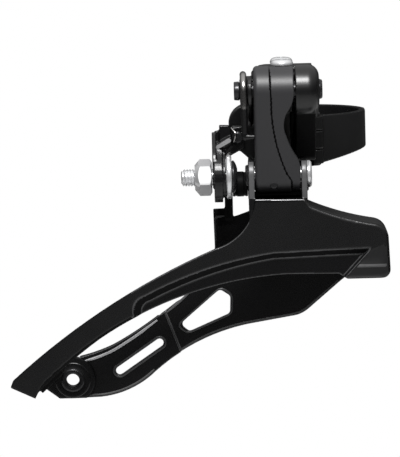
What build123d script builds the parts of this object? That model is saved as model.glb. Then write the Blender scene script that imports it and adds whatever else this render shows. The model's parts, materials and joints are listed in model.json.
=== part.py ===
"""Band-clamp front derailleur in millimetres: +Z up the seat tube, +X forward, +Y inboard."""

import os
from math import cos, radians, sin

from build123d import *

os.makedirs("parts", exist_ok=True)

# Seat-tube clamp.
TUBE_R = 17.45
BAND_T = 1.8
BAND_HALF_HEIGHT = 5.5
BAND_DROP = 8.3
HINGE_AT = (3.55, -20.2)
HINGE_PIN_R = 1.2
KNUCKLE_R = 2.7
CLAMP_BOLT_Y = 24.0
CLAMP_BOLT_R = 2.5

# Four linkage pivots as (Y, Z); the two links are equal and parallel.
OUTER_TOP = (-44.0, 15.3)
OUTER_LOW = (-42.0, -9.0)
INNER_LOW = (-33.0, -12.4)
INNER_TOP = (
    INNER_LOW[0] + OUTER_TOP[0] - OUTER_LOW[0],
    INNER_LOW[1] + OUTER_TOP[1] - OUTER_LOW[1],
)
OUTER_TOP_PIN_R = 2.5
INNER_TOP_PIN_R = 2.0
OUTER_LOW_PIN_R = 2.2
INNER_LOW_PIN_R = 2.0
RUNNING_GAP = 0.05

# Mechanism widths along X.
LINK_LEFT = -14.1
LINK_RIGHT = -1.3
LINK_TOP_RIGHT = -2.7
LEFT_CHEEK = (-15.8, -14.5)
RIGHT_CHEEK = (-2.2, 4.6)
LEFT_EAR = (-16.1, -14.4)
RIGHT_EAR = (-1.0, 0.6)
SPACER = (-20.5, -16.2)
INNER_EAR = (-22.9, -20.6)
LINK_TOP_R = 7.0
LINK_STEP = 0.35
BRACKET_TOP_R = 7.2
LINK_LOW_R = 5.4
EAR_R = 4.5

# Cable anchor.
ANCHOR = (-44.0, -9.1)
ANCHOR_R = 2.5
ARM = (-26.2, -23.4)
WASHER = (-22.4, -20.8)
WASHER_R = 6.3
NUT = (-31.3, -26.4)
NUT_FLATS = 9.2
ARM_RIVET = (-18.8, 1.6)

# Cage sheet metal.
OUTER_FACE = 48.5
SHEET = 1.5
RECESS = 1.8
INNER_FACE = 35.2
INNER_STEP = 1.2
INNER_SHEET = 1.4
TAIL_RIVET = (-67.9, -67.5)
FRONT_RIVETS = ((6.5, -24.6), (17.0, -27.6))

# Limit screws.
SCREW_X = -5.6
SCREW_YS = (-32.4, -24.6)
SCREW_R = 2.0
SCREW_HEAD_R = 3.3


def box(x, y, z, mode=Mode.ADD):
    """A block between two limits on each axis."""
    with BuildSketch(Plane.XY.offset(z[0])) as outline:
        with Locations(((x[0] + x[1]) / 2, (y[0] + y[1]) / 2)):
            Rectangle(x[1] - x[0], y[1] - y[0])
    extrude(outline.sketch, amount=z[1] - z[0], mode=mode)


def round_x(x, centre, radius, mode=Mode.ADD):
    """A cylinder along X between two limits."""
    with BuildSketch(Plane.YZ.offset(x[0])) as outline:
        with Locations(centre):
            Circle(radius)
    extrude(outline.sketch, amount=x[1] - x[0], mode=mode)


def round_y(y, centre, radius, mode=Mode.ADD):
    """A cylinder along Y between two limits, placed by (X, Z)."""
    with BuildSketch(Plane.XZ.offset(-y[0])) as outline:
        with Locations(centre):
            Circle(radius)
    extrude(outline.sketch, amount=y[0] - y[1], mode=mode)


def round_z(z, centre, radius, mode=Mode.ADD):
    """A cylinder along Z between two limits, placed by (X, Y)."""
    with BuildSketch(Plane.XY.offset(z[0])) as outline:
        with Locations(centre):
            Circle(radius)
    extrude(outline.sketch, amount=z[1] - z[0], mode=mode)


def bar(x, first, r_first, second, r_second, mode=Mode.ADD):
    """A bar along X whose section is two round ends joined by tangents."""
    with BuildSketch(Plane.YZ.offset(x[0])) as outline:
        with Locations(first):
            Circle(r_first)
        with Locations(second):
            Circle(r_second)
        make_hull()
    extrude(outline.sketch, amount=x[1] - x[0], mode=mode)


def plate_y(y, points, mode=Mode.ADD):
    """A straight-edged plate between two limits on Y, outlined by (X, Z) points."""
    with BuildSketch(Plane.XZ.offset(-y[0])) as outline:
        with BuildLine():
            Polyline(*points, close=True)
        make_face()
    extrude(outline.sketch, amount=y[0] - y[1], mode=mode)


# Fixed bracket: two cheeks, a top bridge for the limit screws and half of the clamp ring.
with BuildPart() as fixed_bracket:
    bar(RIGHT_CHEEK, OUTER_TOP, BRACKET_TOP_R, (-35.0, 11.1), 6.0)
    fillet(fixed_bracket.edges().group_by(Axis.X)[-1], 3.4)
    bar((RIGHT_CHEEK[0], 3.5), OUTER_TOP, 6.4, (-35.4, 4.6), 5.6)
    bar((RIGHT_CHEEK[0], 3.5), (-35.4, 4.6), 5.6, (-32.6, -2.0), 4.0)
    bar((RIGHT_CHEEK[0], 3.2), INNER_TOP, 5.0, (-27.0, 16.6), 4.4)
    bar(LEFT_CHEEK, OUTER_TOP, 5.4, INNER_TOP, 5.0)
    bar(LEFT_CHEEK, INNER_TOP, 4.6, (-27.0, 16.6), 4.4)
    bar(LEFT_CHEEK, INNER_TOP, 4.6, (-26.5, 5.0), 3.4)
    box((LEFT_CHEEK[0], RIGHT_CHEEK[0] + 1.0), (-36.0, -21.0), (17.2, 21.0))
    box((LEFT_CHEEK[0], 3.2), (-28.4, -21.0), (-8.0, 21.0))
    box((-10.5, 3.2), (-28.4, -17.0), (-8.3, 8.0))
    box((LEFT_CHEEK[0], -10.4), (-28.4, -14.0), (-6.0, 8.0))
    round_y((-28.9, -23.0), (-15.4, 4.3), 5.8)
    with BuildSketch(Plane.XY.offset(-BAND_HALF_HEIGHT)):
        Circle(TUBE_R + 2.4)
        Circle(TUBE_R, mode=Mode.SUBTRACT)
        with BuildLine():
            Polyline((0, 0), (-4.2, 19.9), (-4.2, 30), (30, 30), (30, -30), (3.2, -30), close=True)
        make_face(mode=Mode.SUBTRACT)
    extrude(amount=2 * BAND_HALF_HEIGHT)
    box((-7.4, -4.2), (17.5, 28.6), (-4.6, 4.6))
    round_z((-30, 40), (0, 0), TUBE_R, mode=Mode.SUBTRACT)
    round_x((-8.0, -4.0), (CLAMP_BOLT_Y, 0), CLAMP_BOLT_R + 0.4, mode=Mode.SUBTRACT)
    # Room for the band's two knuckles above and below the bracket's own one.
    round_z((1.2, 8.1), HINGE_AT, KNUCKLE_R + 0.3, mode=Mode.SUBTRACT)
    round_z((-8.4, -3.9), HINGE_AT, KNUCKLE_R + 0.3, mode=Mode.SUBTRACT)
    box((2.2, 12.0), (-19.9, -10.0), (-8.5, 8.2), mode=Mode.SUBTRACT)
    round_z((-3.9, 1.2), HINGE_AT, KNUCKLE_R)
    round_z((-30, 40), (0, 0), TUBE_R, mode=Mode.SUBTRACT)
    round_z((-8.4, 8.1), HINGE_AT, HINGE_PIN_R, mode=Mode.SUBTRACT)
    round_x((-17.0, 6.0), OUTER_TOP, OUTER_TOP_PIN_R, mode=Mode.SUBTRACT)
    round_x((-17.0, 3.8), INNER_TOP, INNER_TOP_PIN_R, mode=Mode.SUBTRACT)
    # The bridge's left end is cut back behind the outer link.
    box((-17.0, LINK_LEFT - 0.2), (-39.0, -20.0), (18.0, 22.0), mode=Mode.SUBTRACT)
    for y in SCREW_YS:
        round_z((-8.0, 22.0), (SCREW_X, y), SCREW_R + RUNNING_GAP, mode=Mode.SUBTRACT)

# Far half of the clamp: a strap with two knuckles at its hinge and one bolt ear.
with BuildPart() as clamp_band:
    with BuildSketch(Plane.XY.offset(-BAND_DROP)):
        Circle(TUBE_R + BAND_T)
        Circle(TUBE_R, mode=Mode.SUBTRACT)
        with BuildLine():
            Polyline((0, 0), (-1.8, 30), (-30, 30), (-30, -30), (4.9, -30), close=True)
        make_face(mode=Mode.SUBTRACT)
    extrude(amount=BAND_DROP + BAND_HALF_HEIGHT)
    box((-4.0, 25.0), (0.0, 25.0), (-9.0, -BAND_HALF_HEIGHT), mode=Mode.SUBTRACT)
    round_z((-BAND_DROP, BAND_HALF_HEIGHT), HINGE_AT, KNUCKLE_R)
    plate_y(
        (-26.0, 0.0),
        ((3.0, -9.5), (3.0, -8.3), (6.3, -8.3), (20.0, -5.2), (24.0, -9.5)),
        mode=Mode.SUBTRACT,
    )
    box((-1.8, 0.0), (17.5, 28.6), (-4.6, 4.6))
    round_z((-4.2, 1.5), HINGE_AT, KNUCKLE_R + 0.3, mode=Mode.SUBTRACT)
    round_z((-30, 40), (0, 0), TUBE_R, mode=Mode.SUBTRACT)
    round_z((-9, 8), HINGE_AT, HINGE_PIN_R + RUNNING_GAP, mode=Mode.SUBTRACT)
    round_x((-2.0, 0.2), (CLAMP_BOLT_Y, 0), CLAMP_BOLT_R + 0.4, mode=Mode.SUBTRACT)

# Hinge pin with a small head at each end.
with BuildPart() as band_hinge_pin:
    round_z((-8.8, 6.4), HINGE_AT, HINGE_PIN_R)
    round_z((5.8, 6.6), HINGE_AT, 1.9)
    round_z((-8.9, -8.6), HINGE_AT, 1.6)

# Clamp bolt along X, screwed in loosely: 1.5 mm is left under its washer.
with BuildPart() as clamp_bolt:
    round_x((-11.6, 2.6), (CLAMP_BOLT_Y, 0), CLAMP_BOLT_R)
    round_x((2.6, 7.4), (CLAMP_BOLT_Y, 0), 4.2)
    with BuildSketch(Plane.YZ.offset(4.6)):
        with Locations((CLAMP_BOLT_Y, 0)):
            RegularPolygon(2.3, 6)
    extrude(amount=4, mode=Mode.SUBTRACT)
    chamfer(clamp_bolt.edges().group_by(Axis.X)[-1].filter_by(GeomType.CIRCLE), 0.4)

with BuildPart() as clamp_washer:
    round_x((1.5, 2.6), (CLAMP_BOLT_Y, 0), 4.4)
    round_x((1.4, 2.7), (CLAMP_BOLT_Y, 0), CLAMP_BOLT_R + RUNNING_GAP, mode=Mode.SUBTRACT)

# Square nut held against the bracket's ear.
with BuildPart() as clamp_nut:
    box((-10.4, -7.4), (CLAMP_BOLT_Y - 4.2, CLAMP_BOLT_Y + 4.2), (-4.2, 4.2))
    round_x((-10.5, -7.3), (CLAMP_BOLT_Y, 0), CLAMP_BOLT_R + RUNNING_GAP, mode=Mode.SUBTRACT)

# Outer link: a broad cast plate, rounded about its top pivot, waisted on its front edge.
# Its front face steps down by LINK_STEP to the right of a curved seam.
with BuildPart() as outer_link:
    bar((LINK_LEFT, LINK_RIGHT), OUTER_TOP, LINK_TOP_R, OUTER_LOW, LINK_LOW_R)
    with BuildSketch(Plane.XZ.offset(60)):
        with BuildLine():
            Line((-9.7, 26.0), (-9.3, 12.2))
            ThreePointArc((-9.3, 12.2), (-8.3, 1.5), (-5.2, -8.4))
            Polyline((-5.2, -8.4), (-3.9, -10.4), (-3.9, -20), (5, -20), (5, 26.0), (-9.7, 26.0))
        make_face()
    extrude(amount=-30, mode=Mode.SUBTRACT)
    bar((-10.2, LINK_RIGHT), OUTER_TOP, LINK_TOP_R - LINK_STEP, OUTER_LOW, LINK_LOW_R - LINK_STEP)
    with BuildSketch(Plane.XZ.offset(60)):
        with BuildLine():
            Line((LINK_TOP_RIGHT, 30), (LINK_TOP_RIGHT, 14.6))
            ThreePointArc((LINK_TOP_RIGHT, 14.6), (-3.5, 11.4), (-4.7, 9.4))
            ThreePointArc((-4.7, 9.4), (-5.7, 6.2), (-5.0, 2.2))
            ThreePointArc((-5.0, 2.2), (-3.9, -0.8), (-2.2, -3.9))
            ThreePointArc((-2.2, -3.9), (-1.5, -5.4), (LINK_RIGHT, -6.6))
            Line((LINK_RIGHT, -6.6), (LINK_RIGHT, -20))
            Polyline((LINK_RIGHT, -20), (LINK_LEFT, -20), (LINK_LEFT, 30), (LINK_TOP_RIGHT, 30))
        make_face()
    extrude(amount=-30, mode=Mode.INTERSECT)
    box((-20, 5), (-39.6, -30), (-20, 30), mode=Mode.SUBTRACT)
    box((-12.2, -6.6), (-45.6, -38), (-3.6, 6.4), mode=Mode.SUBTRACT)
    left_rim = outer_link.edges().filter_by(lambda e: e.center().X < LINK_LEFT + 0.01)
    fillet(left_rim.filter_by(lambda e: e.center().Y < -46), 1.2)
    round_x((-20, 5), OUTER_TOP, OUTER_TOP_PIN_R + RUNNING_GAP, mode=Mode.SUBTRACT)
    round_x((-20, 5), OUTER_LOW, OUTER_LOW_PIN_R + RUNNING_GAP, mode=Mode.SUBTRACT)
    # Hole for the moving leg of the return spring.
    round_x((LINK_LEFT - 1, LINK_LEFT + 1.6), (-47.2, 2.4), 1.1, mode=Mode.SUBTRACT)

# Inner link: a barrel at each pivot, a web between, and a lug to the left for the cable arm.
with BuildPart() as inner_link:
    round_x((LINK_LEFT, -2.6), INNER_TOP, 4.0)
    round_x((LINK_LEFT, -1.4), INNER_LOW, 3.4)
    bar((LINK_LEFT, -3.4), INNER_TOP, 2.2, INNER_LOW, 2.2)
    plate_y(
        (-36.9, -33.0),
        ((-20.3, 4.6), (-20.3, -0.4), (-18.3, -2.4), (-15.2, -5.2), (-13.0, -5.2), (-13.0, 4.6)),
    )
    round_x((LINK_LEFT - 8, 0), INNER_TOP, INNER_TOP_PIN_R + RUNNING_GAP, mode=Mode.SUBTRACT)
    round_y((-39.0, -34.5), ARM_RIVET, 1.3, mode=Mode.SUBTRACT)
    round_x((LINK_LEFT - 1, 0), INNER_LOW, INNER_LOW_PIN_R + RUNNING_GAP, mode=Mode.SUBTRACT)

# Cable arm: base strip on the inner link, then a broad round-ended plate square to X.
with BuildPart() as cable_arm:
    with BuildSketch(Plane.XZ.offset(39.0)):
        with BuildLine():
            Polyline((-26.2, -3.0), (-26.2, 2.6), (-25.2, 3.6), (-16.9, 5.0), (-16.9, -1.6))
            Polyline((-16.9, -1.6), (-18.3, -2.2), (-22.4, -4.5), (-26.2, -3.0))
        make_face()
    extrude(amount=-2.1)
    bar(ARM, ANCHOR, 7.3, (-40.4, -0.2), 3.8)
    round_x((ARM[0] - 1, ARM[1] + 1), ANCHOR, ANCHOR_R, mode=Mode.SUBTRACT)
    corners = cable_arm.edges().filter_by(Axis.Y)
    fillet(corners.filter_by(lambda e: e.center().X < -25 and e.length < 3), 0.8)
    round_y((-40.0, -36.0), ARM_RIVET, 1.3, mode=Mode.SUBTRACT)

with BuildPart() as arm_rivet:
    round_y((-39.9, -39.0), ARM_RIVET, 1.9)
    round_y((-39.0, -34.5), ARM_RIVET, 1.3)


# Outer cage plate: a wide panel with a recessed lower margin, a closed nose and two ears.
with BuildPart() as outer_cage_plate:
    # Panel and margin together, thick enough to hold both levels.
    with BuildSketch(Plane.XZ.offset(OUTER_FACE)):
        with BuildLine():
            ThreePointArc((-84.6, -65.5), (-58.0, -45.6), (-26.0, -29.1))
            ThreePointArc((-26.0, -29.1), (-18.0, -24.1), (-14.4, -15.3))
            Polyline((-14.4, -15.3), (-0.5, -15.6), (0.4, -17.0))
            top = ThreePointArc((0.4, -17.0), (8.6, -20.2), (19.2, -22.8))
            nose = Line((23.35, -27.2), (23.7, -36.2))
            RadiusArc(top @ 1, nose @ 0, 4.6)
            ThreePointArc((23.7, -36.2), (23.0, -38.1), (21.2, -38.8))
            Polyline((21.2, -38.8), (11.4, -38.8), (9.0, -37.3), (-5.6, -37.1))
            ThreePointArc((-5.6, -37.1), (-35.0, -42.4), (-59.5, -54.2))
            ThreePointArc((-59.5, -54.2), (-69.5, -61.9), (-77.6, -69.3))
            Polyline((-77.6, -69.3), (-78.4, -70.8), (-85.4, -67.5), (-84.6, -65.5))
        make_face()
    extrude(amount=-(SHEET + RECESS))
    # The bridge and the nose are pressed round, so their front edge is rounded.
    front = outer_cage_plate.edges().group_by(Axis.Y)[0]
    fillet(front.filter_by(lambda e: e.center().X > 0.1 and e.center().Z > -38.0), 1.2)
    # Hollow behind the panel.
    with BuildSketch(Plane.XZ.offset(OUTER_FACE - SHEET)):
        with BuildLine():
            Polyline((-90, -80), (-51.6, -80), (-51.6, -47.6))
            ThreePointArc((-51.6, -47.6), (-51.0, -44.4), (-48.2, -42.2))
            ThreePointArc((-48.2, -42.2), (-28.0, -33.9), (-6.0, -30.2))
            Polyline((-6.0, -30.2), (18.8, -30.2), (9.9, -41), (40, -41), (40, 0), (-90, 0), (-90, -80))
        make_face()
    extrude(amount=-RECESS, mode=Mode.SUBTRACT)
    # Front of the margin, set back behind a sloped wall.
    with BuildSketch(Plane.XZ.offset(OUTER_FACE)):
        with BuildLine():
            Polyline((-50.1, -60), (-50.1, -47.0))
            ThreePointArc((-50.1, -47.0), (-49.5, -43.8), (-46.8, -42.0))
            ThreePointArc((-46.8, -42.0), (-28.0, -34.4), (-9.4, -30.5))
            Polyline((-9.4, -30.5), (18.6, -29.7), (9.4, -39.6), (9.4, -60), (-50.1, -60))
        make_face()
    with BuildSketch(Plane.XZ.offset(OUTER_FACE - RECESS)):
        with BuildLine():
            Polyline((-47.2, -60), (-47.2, -47.0))
            ThreePointArc((-47.2, -47.0), (-46.7, -45.0), (-44.9, -43.8))
            ThreePointArc((-44.9, -43.8), (-28.0, -36.9), (-9.4, -32.6))
            Polyline((-9.4, -32.6), (16.0, -31.8), (8.0, -40.4), (8.0, -60), (-47.2, -60))
        make_face()
    loft(ruled=True, mode=Mode.SUBTRACT)
    # Bridge across the top and round the nose to the inner plate.
    with BuildSketch(Plane.XZ.offset(OUTER_FACE - SHEET)):
        with BuildLine():
            top = ThreePointArc((0.4, -17.0), (8.6, -20.2), (19.2, -22.8))
            nose = Line((23.35, -27.2), (23.7, -36.2))
            RadiusArc(top @ 1, nose @ 0, 4.6)
            Polyline((23.7, -36.2), (22.2, -36.2), (21.85, -27.2))
            RadiusArc((21.85, -27.2), (18.9, -24.3), -3.1)
            ThreePointArc((18.9, -24.3), (8.2, -21.7), (0.4, -18.7))
            Line((0.4, -18.7), (0.4, -17.0))
        make_face()
    extrude(amount=-(OUTER_FACE - SHEET - INNER_FACE + INNER_STEP))
    # Flange folded down from the bridge onto the inner plate.
    plate_y(
        (-(INNER_FACE - INNER_STEP) - SHEET, -(INNER_FACE - INNER_STEP)),
        ((2.4, -18.9), (7.6, -21.0), (19.3, -24.0), (21.9, -27.0), (21.9, -30.6), (13.6, -30.6), (2.4, -28.2)),
    )
    # Shelf bent back along the neck's top edge, with a small upturned flange at its end.
    box((-14.4, -0.5), (-OUTER_FACE, -38.2), (-17.1, -15.6))
    box((-14.4, -0.5), (-39.4, -38.2), (-17.1, -14.2))
    # Ears for the link pivots.
    bar(LEFT_EAR, OUTER_LOW, EAR_R, INNER_LOW, EAR_R)
    bar(LEFT_EAR, OUTER_LOW, EAR_R, (-45.8, -21.4), 1.6)
    bar(LEFT_EAR, (-45.8, -21.4), 1.6, (-38.0, -14.0), 2.0)
    bar(RIGHT_EAR, OUTER_LOW, EAR_R, INNER_LOW, EAR_R)
    bar(RIGHT_EAR, OUTER_LOW, EAR_R, (-45.8, -20.4), 1.6)
    bar(RIGHT_EAR, OUTER_LOW, EAR_R, (-40.0, -17.0), 1.6)
    # Tail wall under the chain, ending in a round tab on the inner plate.
    plate_y(
        (-OUTER_FACE + SHEET - 0.1, -INNER_FACE),
        ((-77.5, -68.2), (-76.3, -69.5), (-70.2, -63.9), (-71.4, -62.6)),
    )
    with BuildSketch(Plane.XZ.offset(INNER_FACE)):
        with Locations(TAIL_RIVET):
            Circle(6.6)
        with Locations((-75.4, -68.6)):
            Circle(1.2)
        make_hull()
    extrude(amount=SHEET)
    box((-90, -58), (-40, -INNER_FACE), (-80, -72.8), mode=Mode.SUBTRACT)
    round_y((-40, -30), TAIL_RIVET, 2.6, mode=Mode.SUBTRACT)
    for at in FRONT_RIVETS:
        round_y((-40, -30), at, 1.6, mode=Mode.SUBTRACT)
    round_x((-20, 3), OUTER_LOW, OUTER_LOW_PIN_R, mode=Mode.SUBTRACT)
    round_x((-20, 3), INNER_LOW, INNER_LOW_PIN_R, mode=Mode.SUBTRACT)

# Inner cage plate: deeper than the outer one, stepped, with a window and a long slot.
with BuildPart() as inner_cage_plate:
    with BuildSketch(Plane.XZ.offset(INNER_FACE)):
        with BuildLine():
            Line((-26.3, -19.3), (-26.1, -30.6))
            ThreePointArc((-26.1, -30.6), (-29.4, -38.4), (-37.6, -46.0))
            ThreePointArc((-37.6, -46.0), (-46.6, -52.3), (-56.0, -57.9))
            ThreePointArc((-56.0, -57.9), (-60.6, -59.7), (-65.8, -61.1))
            ThreePointArc((-65.8, -61.1), (-73.0, -64.4), (-74.2, -69.4))
            ThreePointArc((-74.2, -69.4), (-71.6, -72.2), (-67.8, -73.1))
            Line((-67.8, -73.1), (-59.5, -72.8))
            ThreePointArc((-59.5, -72.8), (-51.0, -70.5), (-43.9, -65.7))
            ThreePointArc((-43.9, -65.7), (-31.0, -57.4), (-17.0, -52.9))
            Line((-17.0, -52.9), (-4.4, -50.9))
            ThreePointArc((-4.4, -50.9), (-1.9, -50.3), (0.2, -49.1))
            Line((0.2, -49.1), (10.0, -40.9))
            ThreePointArc((10.0, -40.9), (11.4, -39.9), (13.0, -39.0))
            Polyline((13.0, -39.0), (21.9, -37.4), (21.9, -27.0))
            ThreePointArc((21.9, -27.0), (21.3, -25.4), (19.5, -24.5))
            Polyline((19.5, -24.5), (7.6, -21.4), (0.4, -18.8), (-3.0, -19.0), (-26.3, -19.3))
        make_face()
    extrude(amount=-(INNER_SHEET + INNER_STEP))
    # Step between the rear half, which stands outboard, and the front half.
    plate_y(
        (-INNER_FACE - 0.1, -INNER_FACE + INNER_STEP),
        ((-40.9, 0), (-40.9, -48.7), (-36.0, -62), (-30, -80), (30, -80), (30, 0)),
        mode=Mode.SUBTRACT,
    )
    plate_y(
        (-INNER_FACE + INNER_SHEET, -30),
        ((-42.5, -40), (-42.5, -48.7), (-37.6, -62), (-31.6, -80), (-90, -80), (-90, -40)),
        mode=Mode.SUBTRACT,
    )
    # Rolled lip along the rear top edge.
    with BuildSketch(Plane.XZ.offset(INNER_FACE)):
        with BuildLine():
            ThreePointArc((-42.6, -49.5), (-49.2, -54.0), (-56.0, -57.9))
            ThreePointArc((-56.0, -57.9), (-60.6, -59.7), (-65.8, -61.1))
            Line((-65.8, -61.1), (-66.1, -62.3))
            ThreePointArc((-66.1, -62.3), (-60.9, -60.9), (-56.5, -59.1))
            ThreePointArc((-56.5, -59.1), (-49.8, -55.1), (-43.1, -50.7))
            Line((-43.1, -50.7), (-42.6, -49.5))
        make_face()
    extrude(amount=-3.4)
    # Ear that carries the left end of the low inner pin.
    bar(INNER_EAR, INNER_LOW, 4.0, (-33.2, -21.6), 1.4)
    round_x((-25, -20), INNER_LOW, INNER_LOW_PIN_R, mode=Mode.SUBTRACT)
    # Window and slot.
    with BuildSketch(Plane.XZ.offset(40)) as openings:
        with BuildLine():
            Polyline((-36.6, -52.4), (-25.0, -42.6), (-22.0, -44.6), (-22.2, -49.6), (-34.0, -54.6), close=True)
        make_face()
        fillet(openings.vertices(), 1.2)
    extrude(amount=-10, mode=Mode.SUBTRACT)
    with BuildSketch(Plane.XZ.offset(40)):
        with Locations((-48.5, -61.4)):
            SlotCenterToCenter(14.0, 2.3, rotation=33.9)
    extrude(amount=-10, mode=Mode.SUBTRACT)
    round_y((-40, -30), TAIL_RIVET, 2.6, mode=Mode.SUBTRACT)
    for at in FRONT_RIVETS:
        round_y((-40, -30), at, 1.6, mode=Mode.SUBTRACT)

# Hollow tail rivet.
with BuildPart() as tail_rivet:
    round_y((-INNER_FACE - SHEET - 0.7, -INNER_FACE - SHEET), TAIL_RIVET, 3.4)
    round_y((-INNER_FACE - SHEET, -INNER_FACE + INNER_SHEET), TAIL_RIVET, 2.6)
    round_y((-INNER_FACE + INNER_SHEET, -INNER_FACE + INNER_SHEET + 0.7), TAIL_RIVET, 3.6)
    round_y((-40, -30), TAIL_RIVET, 1.85, mode=Mode.SUBTRACT)


def front_rivet(at):
    """A solid rivet through the bridge's flange and the inner plate."""
    outer = -(INNER_FACE - INNER_STEP) - SHEET
    inner = -(INNER_FACE - INNER_STEP) + INNER_SHEET
    round_y((outer - 0.9, outer), at, 2.8)
    round_y((outer, inner), at, 1.6)
    round_y((inner, inner + 0.9), at, 2.8)


with BuildPart() as front_rivet_rear:
    front_rivet(FRONT_RIVETS[0])

with BuildPart() as front_rivet_fore:
    front_rivet(FRONT_RIVETS[1])

# Pins.
with BuildPart() as outer_upper_pin:
    round_x((-19.6, -18.0), OUTER_TOP, 2.7)
    round_x((-18.0, RIGHT_CHEEK[1]), OUTER_TOP, OUTER_TOP_PIN_R)
    round_x((RIGHT_CHEEK[1], 5.5), OUTER_TOP, 2.9)

with BuildPart() as inner_upper_pin:
    round_x((-16.6, LEFT_CHEEK[0]), INNER_TOP, 2.6)
    round_x((LEFT_CHEEK[0], 3.8), INNER_TOP, INNER_TOP_PIN_R)

with BuildPart() as outer_lower_pin:
    round_x((-16.9, LEFT_EAR[0]), OUTER_LOW, 3.1)
    round_x((LEFT_EAR[0], RIGHT_EAR[1]), OUTER_LOW, OUTER_LOW_PIN_R)
    round_x((RIGHT_EAR[1], 2.0), OUTER_LOW, 3.9)
    chamfer(outer_lower_pin.edges().group_by(Axis.X)[-1], 0.5)

with BuildPart() as inner_lower_pin:
    round_x((-23.7, INNER_EAR[0]), INNER_LOW, 2.9)
    round_x((INNER_EAR[0], RIGHT_EAR[1]), INNER_LOW, INNER_LOW_PIN_R)
    round_x((RIGHT_EAR[1], 1.3), INNER_LOW, 2.7)

# Spacer barrel on the low inner pin, between the inner plate's ear and the cage's left ear.
with BuildPart() as cage_spacer:
    round_x(SPACER, INNER_LOW, 3.6)
    round_x((SPACER[0] - 1, SPACER[1] + 1), INNER_LOW, INNER_LOW_PIN_R, mode=Mode.SUBTRACT)

# Plastic bush inside the return spring.
with BuildPart() as spring_bush:
    round_x((-17.95, LEFT_CHEEK[0]), OUTER_TOP, 3.3)
    round_x((-18.1, LEFT_CHEEK[0] + 0.1), OUTER_TOP, OUTER_TOP_PIN_R, mode=Mode.SUBTRACT)

# Return spring: one round coil, a fixed leg over the cheek and a leg bent into the outer link.
with BuildPart() as return_spring:
    wire = 0.95
    coil = 4.35
    side = -16.9
    top = OUTER_TOP[1] + coil
    front = OUTER_TOP[0] - coil
    with BuildLine() as path:
        Line((side, -35.2, top), (side, OUTER_TOP[0], top))
        ThreePointArc(
            (side, OUTER_TOP[0], top),
            (side, OUTER_TOP[0] - coil * cos(radians(45)), OUTER_TOP[1] + coil * sin(radians(45))),
            (side, front, OUTER_TOP[1]),
        )
        Line((side, front, OUTER_TOP[1]), (side, -47.4, 4.0))
    with BuildSketch(Plane(origin=(side, -35.2, top), z_dir=(0, -1, 0))):
        Circle(wire)
    sweep(transition=Transition.ROUND)
    with BuildSketch(Plane.XZ.offset(-OUTER_TOP[0])) as section:
        with Locations((side, top)):
            Circle(wire)
    revolve(section.sketch, axis=Axis((0, OUTER_TOP[0], OUTER_TOP[1]), (1, 0, 0)), revolution_arc=360)
    round_x((side, -13.0), (-47.2, 2.4), wire)
    with Locations((side, -47.2, 2.4)):
        Sphere(wire)
    bar((side - 0.9, side + 0.9), (-47.2, 2.4), 0.9, (-47.45, 4.6), 0.9)

# Cable anchor.
with BuildPart() as cable_anchor_bolt:
    round_x((-35.2, WASHER[1]), ANCHOR, ANCHOR_R)
    round_x((WASHER[1], WASHER[1] + 1.6), ANCHOR, 4.7)
    chamfer(cable_anchor_bolt.edges().group_by(Axis.X)[0], 0.5)
    chamfer(cable_anchor_bolt.edges().group_by(Axis.X)[-1], 0.8)

with BuildPart() as cable_washer:
    round_x(WASHER, ANCHOR, WASHER_R)
    round_x((WASHER[0] - 1, WASHER[1] + 1), ANCHOR, ANCHOR_R, mode=Mode.SUBTRACT)

with BuildPart() as cable_nut:
    with BuildSketch(Plane.YZ.offset(NUT[0])):
        with Locations(ANCHOR):
            RegularPolygon(NUT_FLATS / 2, 6, major_radius=False, rotation=17)
    extrude(amount=NUT[1] - NUT[0])
    round_x((NUT[0] - 1, NUT[1] + 1), ANCHOR, ANCHOR_R + RUNNING_GAP, mode=Mode.SUBTRACT)


def limit_screw(y, tip):
    """A pan head on a round shank, and the shank's end at height tip."""
    round_z((tip, 21.3), (SCREW_X, y), SCREW_R)
    round_z((21.3, 23.7), (SCREW_X, y), SCREW_HEAD_R)


def cross_recess(y):
    """The two crossed slots of a screwdriver recess in a screw's head."""
    box((SCREW_X - 1.9, SCREW_X + 1.9), (y - 0.4, y + 0.4), (22.2, 24.0), mode=Mode.SUBTRACT)
    box((SCREW_X - 0.4, SCREW_X + 0.4), (y - 1.9, y + 1.9), (22.2, 24.0), mode=Mode.SUBTRACT)


with BuildPart() as limit_screw_low:
    limit_screw(SCREW_YS[0], 17.6)
    fillet(limit_screw_low.edges().group_by(Axis.Z)[-1], 1.1)
    cross_recess(SCREW_YS[0])

with BuildPart() as limit_screw_high:
    limit_screw(SCREW_YS[1], 12.0)
    fillet(limit_screw_high.edges().group_by(Axis.Z)[-1], 1.1)
    cross_recess(SCREW_YS[1])

BUILT = {
    "fixed_bracket": fixed_bracket,
    "clamp_band": clamp_band,
    "band_hinge_pin": band_hinge_pin,
    "clamp_bolt": clamp_bolt,
    "clamp_washer": clamp_washer,
    "clamp_nut": clamp_nut,
    "outer_link": outer_link,
    "inner_link": inner_link,
    "cable_arm": cable_arm,
    "arm_rivet": arm_rivet,
    "outer_cage_plate": outer_cage_plate,
    "inner_cage_plate": inner_cage_plate,
    "tail_rivet": tail_rivet,
    "front_rivet_rear": front_rivet_rear,
    "front_rivet_fore": front_rivet_fore,
    "outer_upper_pin": outer_upper_pin,
    "inner_upper_pin": inner_upper_pin,
    "outer_lower_pin": outer_lower_pin,
    "inner_lower_pin": inner_lower_pin,
    "cage_spacer": cage_spacer,
    "spring_bush": spring_bush,
    "return_spring": return_spring,
    "cable_anchor_bolt": cable_anchor_bolt,
    "cable_washer": cable_washer,
    "cable_nut": cable_nut,
    "limit_screw_low": limit_screw_low,
    "limit_screw_high": limit_screw_high,
}
for name, built in BUILT.items():
    built.part.label = name
    export_step(built.part, "parts/" + name + ".step")
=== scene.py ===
"""Front derailleur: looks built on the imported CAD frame. Lengths in metres, helper sizes in mm."""

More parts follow.
